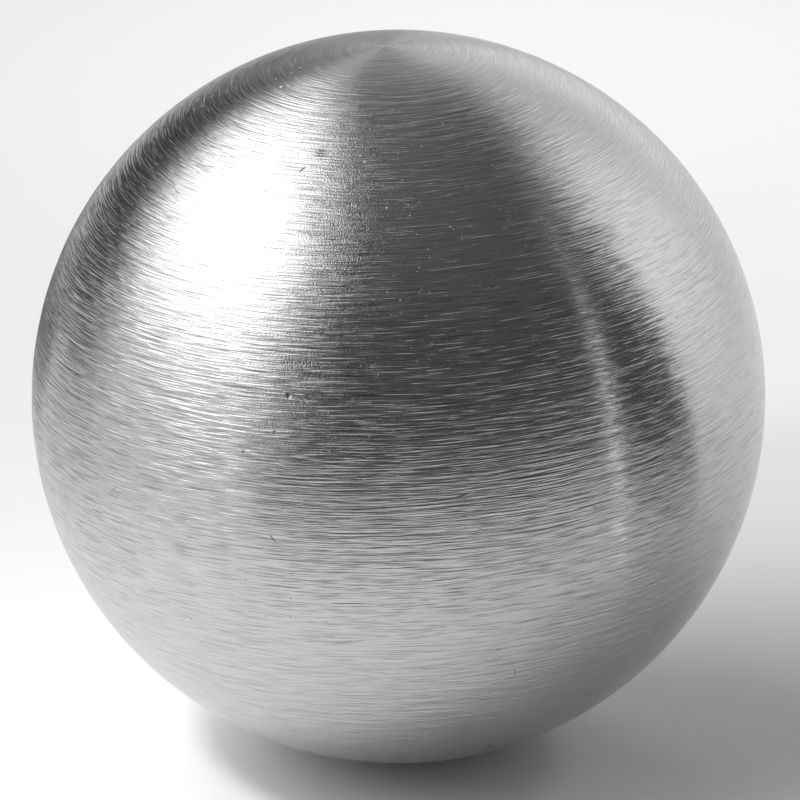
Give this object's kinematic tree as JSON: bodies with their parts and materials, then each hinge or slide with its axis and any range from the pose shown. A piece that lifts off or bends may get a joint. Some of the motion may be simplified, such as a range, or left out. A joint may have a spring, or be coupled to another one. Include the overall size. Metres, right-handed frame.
{
  "type": "steel ball",
  "caption": "Solid steel ball with a brushed surface, used loose on a desk or bench as a weight, a rolling ball or a stand's ornament.",
  "frame": {"origin": "centre of the ball", "axes": "+Z along the axis that the brushing runs round, up in use; -Y towards the side seen from the front; +X to its right"},
  "size_m": [0.05, 0.05, 0.05],
  "materials": {
    "steel": "brushed in rings about one axis, with small dents and scratches"
  },
  "bodies": {
    "root": {"ball": "steel"}
  },
  "joints": []
}
